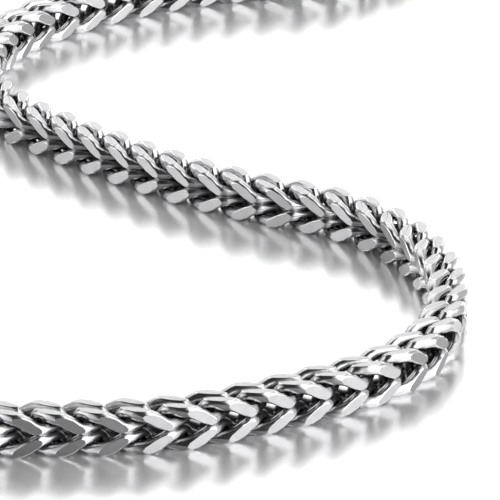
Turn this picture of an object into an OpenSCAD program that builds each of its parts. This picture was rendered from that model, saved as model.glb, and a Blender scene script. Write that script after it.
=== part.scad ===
// V-link neck chain of box section with a box clasp, closed and lying flat.
// Millimetres, +Z up. The origin is under the middle of the loop, on the surface.

/* [Chain] */
// Width of the chain, across the loop
chain_width = 4.2; // [4.2:0.05:4.5]
// Height of the chain above the surface
chain_height = 4.75; // [4.75:0.05:5]
// Distance from one link to the next along the chain
link_pitch = 4.25; // [4.25:0.01:4.28]
// Number of links in the whole chain
link_count = 121; // [118:1:121]

/* [Link wire] */
// Wire thickness at the shoulder, where it turns from the V to the top
shoulder_wire = 1.3; // [1.1:0.02:1.3]
// Wire thickness at the point of the V
point_wire = 1.18; // [1.1:0.02:1.18]
// Wire thickness where two links cross inside the chain
cross_wire = 0.9; // [0.84:0.02:0.9]

/* [Link shape] */
// How far the point of the V lies ahead of the link's middle
point_ahead = 0.8; // [0.78:0.01:0.82]
// How far the shoulder lies behind the link's middle
shoulder_behind = 1.41; // [1.39:0.01:1.43]
// How far the inner crossing lies behind the link's middle
cross_behind = 3.7; // [3.69:0.01:3.71]

/* [Loop] */
// Bend radius of the hidden turns
hidden_bend = 21; // [21:0.5:22]
// Distance from the start of the front strand back to the left-hand turn
front_lead = 10; // [10:1:14]
// Distance from the start of the front strand to the left-hand strand
left_reach = 29; // [29:1:31]

/* [Clasp] */
// How far the clasp sits below the middle of the left-hand strand
clasp_shift = 1.5; // [0:0.1:2]
// Thickness of the clasp's walls
clasp_wall = 0.8; // [0.7:0.05:0.9]
// Room left between the clasp and the chain
clasp_gap = 0.15; // [0.12:0.01:0.2]
// Diameter of the two pins that hold the end links
pin_d = 1.4; // [1.2:0.1:1.6]

/* [Hidden] */
wire_sides = 5;
half_width = chain_width / 2;
half_height = chain_height / 2;
// Heights above the chain's middle, and how far to the side the inner crossing lies
point_height = 0.572;
crossing_height = 0.438;
crossing_side = 0.952;
// Share of the wire's thickness that its middle lies inside the box section
inset_share = 0.31;

// One half of a link's upper ring, from the point of the V in front, over the shoulder,
// to the crossing inside. The other half is the same, turned half way round.
// Columns: place, wire radius, outward direction
wire_inset = shoulder_wire * inset_share;
wire_out = half_width - wire_inset;
wire_up = half_height - wire_inset;
HALF_RING = [
    [[point_ahead, -wire_out, point_height], point_wire / 2, [0, -1, 0]],
    [[-shoulder_behind, -wire_out, wire_up], shoulder_wire / 2, [0, -1, 1]],
    [[-cross_behind, crossing_side, crossing_height], cross_wire / 2, [-0.6, 0, 1]],
];
RING = [for (side = [1, -1], corner = HALF_RING)
    [turned(corner[0], side), corner[1], turned(corner[2], side)]];
ring_corners = len(RING);
ring_points = ring_corners * wire_sides;

function turned(p, side) = [side * p.x, side * p.y, p.z];
function unit(v) = v / norm(v);
function flat_cut(p) = [
    p.x,
    min(max(p.y, -half_width), half_width),
    min(max(p.z, -half_height), half_height)];

// The wire's outline at one corner of the ring, square to the bend and cut flat
// where it would stand out of the chain's box section
function corner_outline(i) =
    let (here = RING[i][0],
         before = RING[(i + ring_corners - 1) % ring_corners][0],
         after = RING[(i + 1) % ring_corners][0],
         along = unit(unit(here - before) + unit(after - here)),
         out = unit(RING[i][2] - along * (RING[i][2] * along)),
         across = cross(along, out))
    [for (k = [0:wire_sides - 1])
        let (a = 360 * (k + 0.5) / wire_sides)
        flat_cut(here + RING[i][1] * (cos(a) * out + sin(a) * across))];

UPPER_POINTS = [for (i = [0:ring_corners - 1]) each corner_outline(i)];
LINK_POINTS = concat(UPPER_POINTS, [for (p = UPPER_POINTS) [p.x, p.y, -p.z]]);

// Strips of the ring's skin are named by corner and side. Two of them, one at each
// point, are left open and soldered to the mirrored ring below.
seam_side = 2;
function ring_point(i, k) = (i % ring_corners) * wire_sides + k % wire_sides;
function is_seam(i, k) = k == seam_side && (i == ring_corners - 1 || i == ring_corners / 2 - 1);
function strip(i, k) = [
    ring_point(i, k), ring_point(i + 1, k),
    ring_point(i + 1, k + 1), ring_point(i, k + 1)];
function lower(q) = [for (n = q) n + ring_points];
function two_triangles(q) = [[q[0], q[1], q[2]], [q[0], q[2], q[3]]];
function reversed(q) = [for (n = [len(q) - 1:-1:0]) q[n]];
function seam_walls(q) = [for (n = [0:3])
    each two_triangles([q[n], q[(n + 1) % 4], lower(q)[(n + 1) % 4], lower(q)[n]])];

LINK_FACES = [for (i = [0:ring_corners - 1], k = [0:wire_sides - 1])
    each is_seam(i, k)
        ? seam_walls(strip(i, k))
        : concat(two_triangles(strip(i, k)), two_triangles(reversed(lower(strip(i, k)))))];

// The seen stretch of the loop, from the left end of the front strand on
// Columns: length, turn to the left in degrees
SEEN = [
    [13, 5], [10, 21], [14, 6], [20.5, 48], [21.5, 38],
    [16, 37], [20, -16], [18.5, -6], [36, -82], [34, -43]];
seen_turn = sum([for (s = SEEN) s[1]]);
seen_end = walk_end(SEEN, [0, 0], 0);

// The hidden stretch turns back, runs behind and down the left side, and joins up
back_run = seen_end[0].x - hidden_bend * sin(seen_turn) + left_reach + front_lead - hidden_bend;
left_run = seen_end[0].y + hidden_bend * cos(seen_turn) - hidden_bend;
HIDDEN = [
    [hidden_bend * PI / 180 * (180 - seen_turn), 180 - seen_turn],
    [back_run, 0],
    [hidden_bend * PI / 2, 90],
    [left_run, 0],
    [hidden_bend * PI / 2, 90],
    [left_reach + front_lead - hidden_bend, 0]];
ROUTE = concat(SEEN, HIDDEN);
route_length = sum([for (s = ROUTE) s[0]]);

function sum(v, i = 0) = i < len(v) ? v[i] + sum(v, i + 1) : 0;

// Where a stretch ends that starts at p, heading h: [place, heading]
function step(p, h, s) = s[1] == 0
    ? [p + s[0] * [cos(h), sin(h)], h]
    : let (r = s[0] / s[1] * 180 / PI)
      [p + r * [sin(h + s[1]) - sin(h), cos(h) - cos(h + s[1])], h + s[1]];
function walk_end(route, p, h, i = 0) = i == len(route)
    ? [p, h]
    : let (e = step(p, h, route[i])) walk_end(route, e[0], e[1], i + 1);

// Place and heading at a distance along the route
function along_route(d, p = [0, 0], h = 0, i = 0) =
    let (s = ROUTE[i])
    d <= s[0] || i == len(ROUTE) - 1
        ? step(p, h, [d, s[1] * d / s[0]])
        : let (e = step(p, h, s)) along_route(d - s[0], e[0], e[1], i + 1);

// The clasp sits near the middle of the left-hand strand, and the links fill the rest
clasp_at = route_length - HIDDEN[5][0] - HIDDEN[4][0] - left_run / 2 + clasp_shift;
ends_apart = route_length - (link_count - 1) * link_pitch;
function link_frame(n) = along_route(
    (clasp_at + ends_apart / 2 + n * link_pitch) % route_length);
function placed(p, frame) = [
    frame[0].x + p.x * cos(frame[1]) - p.y * sin(frame[1]),
    frame[0].y + p.x * sin(frame[1]) + p.y * cos(frame[1]),
    p.z + half_height];

clasp_frame = along_route(clasp_at);
clasp_half_w = half_width + clasp_gap + clasp_wall;
clasp_top = chain_height + clasp_gap + clasp_wall;
pin_inset = 0.9;
pin_at = ends_apart / 2 - pin_inset;
pin_to_end = 3;
clasp_half_l = pin_at + pin_to_end;
core_half_l = ends_apart / 2 - cross_behind - cross_wire;
clasp_round = 0.6;

// Middle of the whole loop, from the centre line's own extent
CENTRES = [for (n = [0:link_count - 1]) link_frame(n)[0]];
loop_x = [min([for (c = CENTRES) c.x]), max([for (c = CENTRES) c.x])];
loop_y = [min([for (c = CENTRES) c.y]), max([for (c = CENTRES) c.y])];
clasp_proud = clasp_gap + clasp_wall;
middle = [(loop_x[0] + loop_x[1] - clasp_proud) / 2, (loop_y[0] + loop_y[1]) / 2];

module links(first, last) {
    frames = [for (n = [first:last]) link_frame(n)];
    points = [for (f = frames, p = LINK_POINTS) placed(p, f)];
    faces = [for (n = [0:last - first], t = LINK_FACES) [for (v = t) v + n * len(LINK_POINTS)]];
    translate([-middle.x, -middle.y, 0]) polyhedron(points, faces);
}

half_count = floor(link_count / 2);
module chain_front() {
    color([0.82, 0.82, 0.84]) links(0, half_count - 1);
}

module chain_back() {
    color([0.72, 0.72, 0.75]) links(half_count, link_count - 1);
}

// A plain box whose two open ends cover the end links, each held by a pin
module clasp() {
    color([0.76, 0.76, 0.79])
    translate([clasp_frame[0].x - middle.x, clasp_frame[0].y - middle.y, 0])
    rotate([0, 0, clasp_frame[1]]) {
        difference() {
            clasp_box();
            for (side = [-1, 1])
                translate([side * (core_half_l + clasp_half_l), 0, 0])
                    cube([2 * clasp_half_l, chain_width + 2 * clasp_gap,
                          2 * (chain_height + clasp_gap)], center = true);
        }
        for (side = [-1, 1])
            translate([side * pin_at, 0, clasp_gap])
                cylinder(h = chain_height + clasp_wall / 2, d = pin_d, $fn = 32);
    }
}

module clasp_box() {
    rotate([90, 0, 90])
        translate([0, 0, -clasp_half_l])
            linear_extrude(2 * clasp_half_l)
                hull() {
                    for (side = [-1, 1]) {
                        translate([side * (clasp_half_w - clasp_round), clasp_top - clasp_round])
                            circle(clasp_round, $fn = 24);
                        translate([side * (clasp_half_w - clasp_wall / 2), clasp_wall / 2])
                            square(clasp_wall, center = true);
                    }
                }
}

chain_front();
chain_back();
clasp();
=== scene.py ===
import bpy
from math import cos, sin, pi, radians
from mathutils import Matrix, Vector


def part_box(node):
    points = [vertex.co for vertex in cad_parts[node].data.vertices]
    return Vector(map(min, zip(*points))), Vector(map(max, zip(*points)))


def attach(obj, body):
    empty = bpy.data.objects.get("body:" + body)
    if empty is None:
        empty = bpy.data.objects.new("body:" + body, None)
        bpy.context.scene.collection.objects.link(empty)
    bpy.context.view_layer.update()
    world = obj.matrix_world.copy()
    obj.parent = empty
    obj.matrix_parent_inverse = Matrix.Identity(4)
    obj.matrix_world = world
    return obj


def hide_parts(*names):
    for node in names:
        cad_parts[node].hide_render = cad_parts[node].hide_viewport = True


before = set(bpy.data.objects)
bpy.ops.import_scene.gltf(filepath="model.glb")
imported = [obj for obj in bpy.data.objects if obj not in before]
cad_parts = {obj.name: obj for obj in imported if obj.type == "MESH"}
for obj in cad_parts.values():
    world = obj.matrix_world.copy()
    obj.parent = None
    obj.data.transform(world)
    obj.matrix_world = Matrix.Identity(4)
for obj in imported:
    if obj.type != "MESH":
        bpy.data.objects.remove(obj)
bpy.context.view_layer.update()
mm = 0.001


# Helpers for modelling

def nothingSelected():
    if bpy.context.object and bpy.context.object.mode != "OBJECT":
        bpy.ops.object.mode_set(mode="OBJECT")
    bpy.ops.object.select_all(action="DESELECT")


def pick(*things):
    nothingSelected()
    for thing in things:
        thing.select_set(True)
    bpy.context.view_layer.objects.active = things[0]
    return things[0]


def editAll(thing):
    pick(thing)
    bpy.ops.object.mode_set(mode="EDIT")
    bpy.ops.mesh.select_all(action="SELECT")


def copyOf(thing):
    twin = thing.copy()
    twin.data = thing.data.copy()
    bpy.context.collection.objects.link(twin)
    return twin


def joined(things, name):  # one object, with its place in its mesh
    whole = pick(*things)
    bpy.ops.object.join()
    whole.name = whole.data.name = name
    pick(whole)
    bpy.ops.object.transform_apply(location=True, rotation=True, scale=True)
    return whole


# Shader maths as expressions on sockets

class Signal:
    def __init__(self, tree, socket):
        self.tree = tree
        self.socket = socket

    def make(self, kind, settings, inputs, output=0):
        return makeNode(self.tree, kind, settings, inputs, output)

    def maths(self, operation, first, second):
        return self.make("ShaderNodeMath", {"operation": operation}, {0: first, 1: second})

    def __add__(self, other):
        return self.maths("ADD", self, other)

    def __sub__(self, other):
        return self.maths("SUBTRACT", self, other)

    def __rsub__(self, other):
        return self.maths("SUBTRACT", other, self)

    def __mul__(self, other):
        return self.maths("MULTIPLY", self, other)

    __radd__ = __add__
    __rmul__ = __mul__

    def clipped(self, low, high):
        return self.maths("MINIMUM", self.maths("MAXIMUM", self, low), high)

    def mixed(self, first, second):  # from the first colour to the second
        return self.make("ShaderNodeMix", {"data_type": "RGBA"}, {
            "Factor": self, 6: first, 7: second}, output=2)


def makeNode(tree, kind, settings, inputs, output=0):
    node = tree.nodes.new(kind)
    for key, value in settings.items():
        setattr(node, key, value)
    for key, value in inputs.items():
        if isinstance(value, Signal):
            tree.links.new(value.socket, node.inputs[key])
        else:
            node.inputs[key].default_value = value
    return Signal(tree, node.outputs[output]) if node.outputs else None


def newMaterial(name):
    material = bpy.data.materials.new(name)
    material.use_nodes = True
    material.node_tree.nodes.clear()
    return material, material.node_tree


def finishMaterial(tree, shader):
    makeNode(tree, "ShaderNodeOutputMaterial", {}, {"Surface": shader})


# Steel: dull patches and fine scratches, painted shade (a darker colour) and more roughness deep
# inside the links, painted shade on the ground flats and a painted highlight on their rims

steelLook = {
    "colour": (0.58, 0.58, 0.585),
    "dullColour": (0.51, 0.51, 0.52),
    # painted shade: the wires deep inside the links go near black, where they shade each other
    "paintedShadeColour": (0.07, 0.07, 0.075),
    "paintedShadeShare": 0.9,
    "roundRoughness": 0.13,
    "flatRoughness": 0.17,
    "rimRoughness": 0.1,
    "flatPaintedShade": 0.8,      # painted shade: the ground flats are darker than the round wire, standing in for the dark surroundings they reflect
    "rimPaintedHighlight": 1.5,       # painted highlight: their rims are brighter, standing in for the light caught by the rounded edges
    "dullRoughness": 0.06,  # added to the roughness where the steel is dull, scratched or inside
    "scratchRoughness": 0.05,
    "insideRoughness": 0.15,
    "patchSize": 900,      # noise scale, for each metre
    "patchDetail": 3.0,
    "patchBlend": 0.6,
    "patchStart": 0.35,
    "patchContrast": 2.2,
    "scratchSize": 5200,
    "scratchDetail": 4.0,
    "scratchBlend": 0.7,
    "scratchDepth": 0.02,  # millimetres
    "evenScratches": (1, 1, 1),
    "groundScratches": (1, 1, 4),  # ground flats are scratched along the chain
    "bump": 0.05,
}


def opaque(colour, shade=1):
    return (*(part * shade for part in colour), 1)


# shade scales the steel colour: below 1 for painted shade, above 1 for a painted highlight
def steel(name, roughness, scratchStretch, shade=1):
    look = steelLook
    material, tree = newMaterial(name)
    place = makeNode(tree, "ShaderNodeTexCoord", {}, {}, output="Object")
    patches = place.make("ShaderNodeTexNoise", {}, {
        "Vector": place, "Scale": look["patchSize"],
        "Detail": look["patchDetail"], "Roughness": look["patchBlend"]})
    stretched = place.make("ShaderNodeMapping", {}, {"Vector": place, "Scale": scratchStretch})
    scratches = place.make("ShaderNodeTexNoise", {}, {
        "Vector": stretched, "Scale": look["scratchSize"],
        "Detail": look["scratchDetail"], "Roughness": look["scratchBlend"]})
    shine = ((patches - look["patchStart"]) * look["patchContrast"]).clipped(0, 1)
    # painted shade mask: 0 near the outside of the link, 1 deep inside it
    inside = place.make("ShaderNodeAttribute", {"attribute_name": "inside"}, {}, output="Fac")
    outer = shine.mixed(opaque(look["dullColour"], shade), opaque(look["colour"], shade))
    # painted shade: the colour goes towards near black deep inside the links
    colour = (inside * look["paintedShadeShare"]).mixed(outer, opaque(look["paintedShadeColour"]))
    bump = place.make("ShaderNodeBump", {}, {
        "Strength": look["bump"], "Distance": look["scratchDepth"] * mm, "Height": scratches})
    shader = place.make("ShaderNodeBsdfPrincipled", {}, {
        "Base Color": colour, "Metallic": 1.0,
        "Roughness": roughness + (1 - shine) * look["dullRoughness"]
        + scratches * look["scratchRoughness"] + inside * look["insideRoughness"],
        "Normal": bump})
    finishMaterial(tree, shader)
    return material


polishedSteel = steel("polishedSteel", steelLook["roundRoughness"], steelLook["evenScratches"])
# painted shade: the ground flats get a darker copy of the steel colour
groundSteel = steel("groundSteel", steelLook["flatRoughness"], steelLook["groundScratches"],
                    steelLook["flatPaintedShade"])
# painted highlight: the rims get a brighter copy of the steel colour
highlightPaintedRim = steel("highlightPaintedRim", steelLook["rimRoughness"], steelLook["evenScratches"],
                  steelLook["rimPaintedHighlight"])
print("steel made")


# One link, in millimetres. Its upper ring goes from the point of the V on the right, over the
# shoulder, across the top and down to the crossing inside, then the same turned half way round.

linkShape = {
    "width": 4.15,
    "height": 4.75,
    "corners": (  # along, across, up, wire thickness, how far from the corner the bend starts
        (1.07, -1.64, 0.61, 1.36, 0.5),
        (-0.95, -1.64, 1.916, 1.48, 1.2),
        (-3.59, -0.15, 1.90, 1.28, 0.9),
        (-3.23, 0.10, 0.50, 1.04, 0.5)),
    "bendSteps": 3,
    "innerHandle": 0.4,    # curve handles, as shares of where the bend starts
    "outerHandle": 1.3,
    "wireSides": 12,
    "rim": 0.06,
    "rimDepth": 0.04,
    "cutMerge": 0.00001,   # points of a cut that lie closer than this become one
    "flatSlack": 0.001,    # how far from its plane, and how square to it, a face still is a flat
    "flatLevel": 0.99,
    "smoothUnder": 30.5,   # degrees
    "paintedShadeStarts": 0.65,  # how deep under the flats the painted shade inside starts and is full
    "paintedShadeFull": 1.2,
}
roundSlot, flatSlot, rimSlot = 0, 1, 2  # of the materials on a link
halfWidth, halfHeight = linkShape["width"] / 2, linkShape["height"] / 2


def linkRing():
    corners = [(Vector((turn * x, turn * y, z)), wire / 2, bend)
               for turn in (1, -1) for x, y, z, wire, bend in linkShape["corners"]]
    nothingSelected()
    bpy.ops.curve.primitive_bezier_circle_add(radius=1)
    curve = bpy.context.object
    points = curve.data.splines[0].bezier_points
    cuts = 2 * len(corners) // len(points) - 1  # two points for each corner
    bpy.ops.object.mode_set(mode="EDIT")
    bpy.ops.curve.select_all(action="SELECT")
    bpy.ops.curve.subdivide(number_cuts=cuts)
    bpy.ops.object.mode_set(mode="OBJECT")
    points = curve.data.splines[0].bezier_points
    for number, (corner, radius, bend) in enumerate(corners):
        before = (corners[number - 1][0] - corner).normalized() * bend
        after = (corners[(number + 1) % len(corners)][0] - corner).normalized() * bend
        for point, away in ((points[2 * number], before), (points[2 * number + 1], after)):
            inner = corner + away * linkShape["innerHandle"]
            outer = corner + away * linkShape["outerHandle"]
            point.handle_left_type = point.handle_right_type = "FREE"
            point.co = corner + away
            point.handle_right = inner if away is before else outer
            point.handle_left = outer if away is before else inner
            point.radius = radius
    curve.data.dimensions = "3D"
    curve.data.resolution_u = linkShape["bendSteps"]
    curve.data.bevel_depth = 1
    curve.data.bevel_resolution = (linkShape["wireSides"] - 4) // 2
    pick(curve)
    bpy.ops.object.convert(target="MESH")
    return bpy.context.object


def groundFlat(ring, normal):  # cut away what stands out of the square, and close the cut
    editAll(ring)
    where = Vector((0, normal[1] * (halfWidth - linkShape["rimDepth"]),
                    normal[2] * (halfHeight - linkShape["rimDepth"])))
    bpy.ops.mesh.bisect(plane_co=where, plane_no=normal, use_fill=True,
                        clear_outer=True, threshold=linkShape["cutMerge"])
    bpy.ops.object.mode_set(mode="OBJECT")


def isFlat(face):
    slack = linkShape["rimDepth"] + linkShape["flatSlack"]
    level = linkShape["flatLevel"]
    atSide = abs(face.center.y) > halfWidth - slack and abs(face.normal.y) > level
    atTop = abs(face.center.z) > halfHeight - slack and abs(face.normal.z) > level
    return atSide or atTop


# painted shade mask for each point: how deep inside the link it lies
def markPaintedShade(link):
    marks = link.data.attributes.new("inside", "FLOAT", "POINT")
    start, end = linkShape["paintedShadeStarts"], linkShape["paintedShadeFull"]
    for vertex, mark in zip(link.data.vertices, marks.data):
        deep = min(halfWidth - abs(vertex.co.y), halfHeight - abs(vertex.co.z))
        mark.value = min(1, max(0, (deep - start) / (end - start)))


def oneLink():
    ring = linkRing()
    for normal in ((0, -1, 0), (0, 1, 0), (0, 0, 1)):
        groundFlat(ring, normal)
    for material in (polishedSteel, groundSteel, highlightPaintedRim):
        ring.data.materials.append(material)
    pick(ring)
    bpy.ops.object.mode_set(mode="EDIT")
    bpy.ops.mesh.select_all(action="DESELECT")
    bpy.ops.object.mode_set(mode="OBJECT")
    for face in ring.data.polygons:
        face.select = isFlat(face)
        face.material_index = flatSlot if face.select else roundSlot
    bpy.ops.object.mode_set(mode="EDIT")
    bpy.ops.mesh.select_mode(type="FACE")
    bpy.ops.mesh.inset(thickness=linkShape["rim"], depth=linkShape["rimDepth"])
    bpy.ops.object.mode_set(mode="OBJECT")
    # the new rims get the brighter steel, a painted highlight
    for face in ring.data.polygons:  # the inset leaves the flats selected, and not their new rims
        if face.material_index == flatSlot and not face.select:
            face.material_index = rimSlot
    lower = copyOf(ring)
    lower.scale.z = -1
    link = joined([ring, lower], "link")
    editAll(link)
    bpy.ops.mesh.normals_make_consistent(inside=False)
    bpy.ops.object.mode_set(mode="OBJECT")
    bpy.ops.object.shade_smooth_by_angle(angle=radians(linkShape["smoothUnder"]))
    markPaintedShade(link)
    return link


# The route of the chain in millimetres: length and turn to the left in degrees, as in the source

chainRoute = {
    "pitch": 4.25,
    "links": 121,
    "seen": ((13, 5), (10, 21), (14, 6), (20.5, 48), (21.5, 38),
             (16, 37), (20, -16), (18.5, -6), (36, -82), (34, -43)),
    "hiddenBend": 21,
    "frontLead": 10,
    "leftReach": 29,
    "claspShift": 1.5,
}


def stepOn(place, heading, length, turn):
    if turn == 0:
        return place + length * Vector((cos(heading), sin(heading))), heading
    end = heading + radians(turn)
    radius = length / radians(turn)
    return place + radius * Vector((sin(end) - sin(heading), cos(heading) - cos(end))), end


def wholeRoute():
    place, heading = Vector((0, 0)), 0
    for length, turn in chainRoute["seen"]:
        place, heading = stepOn(place, heading, length, turn)
    lastTurn = 180 - sum(turn for length, turn in chainRoute["seen"])
    bend = chainRoute["hiddenBend"]
    run = chainRoute["leftReach"] + chainRoute["frontLead"] - bend
    back = place.x - bend * sin(heading) + run
    left = place.y + bend * cos(heading) - bend
    return (*chainRoute["seen"], (bend * radians(lastTurn), lastTurn), (back, 0),
            (bend * pi / 2, 90), (left, 0), (bend * pi / 2, 90), (run, 0))


route = wholeRoute()
routeLength = sum(length for length, turn in route)
leftStrand, lastBend, lastRun = (length for length, turn in route[-3:])
claspAt = routeLength - lastRun - lastBend - leftStrand / 2 + chainRoute["claspShift"]
endsApart = routeLength - (chainRoute["links"] - 1) * chainRoute["pitch"]


def alongRoute(distance):
    place, heading = Vector((0, 0)), 0
    for length, turn in route:
        if distance <= length:
            return stepOn(place, heading, distance, turn * distance / length)
        place, heading = stepOn(place, heading, length, turn)
        distance -= length
    return place, heading


# The route is moved so that its clasp lies on the CAD model's clasp
claspLow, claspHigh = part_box("clasp")
claspMiddle = Vector((claspLow.x + claspHigh.x, claspLow.y + claspHigh.y)) / 2
middle = alongRoute(claspAt)[0] - claspMiddle / mm


def chainPiece(pattern, name, numbers, node):
    copies = []
    for number in numbers:
        distance = claspAt + endsApart / 2 + number * chainRoute["pitch"]
        place, heading = alongRoute(distance % routeLength)
        twin = copyOf(pattern)
        twin.scale = (mm, mm, mm)
        twin.rotation_euler.z = heading
        twin.location = ((place.x - middle.x) * mm, (place.y - middle.y) * mm, halfHeight * mm)
        copies.append(twin)
    piece = joined(copies, name)
    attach(piece, "root")
    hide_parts(node)
    print(name, "made:", len(numbers), "links,", len(piece.data.polygons), "faces")


link = oneLink()
half = chainRoute["links"] // 2
chainPiece(link, "frontLinks", range(half), "chain_front")
chainPiece(link, "backLinks", range(half, chainRoute["links"]), "chain_back")
bpy.data.objects.remove(link)

# Clasp: the CAD node itself, in steel
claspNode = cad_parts["clasp"]
claspNode.data.materials.clear()
claspNode.data.materials.append(polishedSteel)
print("clasp dressed")


# Floor, light and camera

studio = {
    "floorSize": 6.0,
    "floorColour": (0.90, 0.90, 0.91),
    "floorGloss": 0.70,
    "floorRoughness": 0.22,
    "dark": 0.03,          # light from the gap where no panel stands
    "sides": 0.7,          # light from the panels at both sides, all along
    # Panels: where their edge starts, where they are full, and how bright they are
    "overhead": (0.62, 0.80, 1.7),
    "overheadFromFront": (0.05, 0.30, 1),
    "back": (0.50, 0.75, 1.65),
    "right": (0.16, 0.30, 1),
    "rightInFront": (-0.20, 0.10, 1.6),
    "left": (0.50, 0.90, 1),
    "leftInFront": (-0.25, 0.05, 1.2),
}
view = {
    "place": (0.02205, -0.58646, 0.23408),
    "tilt": 67,
    "lens": 396,
    "sensor": 36,
    "nearest": 0.01,
}


def makeFloor():
    nothingSelected()
    bpy.ops.mesh.primitive_plane_add(size=studio["floorSize"])
    floor = bpy.context.object
    floor.name = "floor"
    material, tree = newMaterial("paleFloor")
    matt = makeNode(tree, "ShaderNodeBsdfDiffuse", {}, {"Color": opaque(studio["floorColour"])})
    gloss = makeNode(tree, "ShaderNodeBsdfGlossy", {}, {
        "Color": (1, 1, 1, 1), "Roughness": studio["floorRoughness"]})
    finishMaterial(tree, makeNode(tree, "ShaderNodeMixShader", {}, {
        0: studio["floorGloss"], 1: matt, 2: gloss}))
    floor.data.materials.append(material)


def panel(distance, start, full, strength):
    return ((distance - start) * (1 / (full - start))).clipped(0, 1) * strength


def makeSky():  # white panels above, behind and at both sides, and a dark gap above the camera
    world = bpy.context.scene.world or bpy.data.worlds.new("studio")
    bpy.context.scene.world = world
    world.use_nodes = True
    tree = world.node_tree
    tree.nodes.clear()
    way = makeNode(tree, "ShaderNodeTexCoord", {}, {}, output="Generated")
    parts = makeNode(tree, "ShaderNodeSeparateXYZ", {}, {"Vector": way}).socket.node
    across, along, up = (Signal(tree, parts.outputs[name]) for name in "XYZ")
    overhead = panel(up, *studio["overhead"]) * panel(along, *studio["overheadFromFront"])
    back = panel(along, *studio["back"])
    right = panel(across, *studio["right"]) * (
        panel(0 - along, *studio["rightInFront"]) + studio["sides"])
    left = panel(0 - across, *studio["left"]) * (
        panel(0 - along, *studio["leftInFront"]) + studio["sides"])
    light = overhead
    for other in (back, right, left):
        light = light.maths("MAXIMUM", light, other)
    background = makeNode(tree, "ShaderNodeBackground", {}, {
        "Color": (1, 1, 1, 1), "Strength": light + studio["dark"]})
    makeNode(tree, "ShaderNodeOutputWorld", {}, {"Surface": background})


def placeCamera():
    bpy.ops.object.camera_add(location=view["place"], rotation=(radians(view["tilt"]), 0, 0))
    camera = bpy.context.object
    camera.data.lens = view["lens"]
    camera.data.sensor_width = view["sensor"]
    camera.data.clip_start = view["nearest"]
    bpy.context.scene.camera = camera


makeFloor()
makeSky()
placeCamera()
bpy.context.scene.view_settings.view_transform = "Standard"
print("studio made")
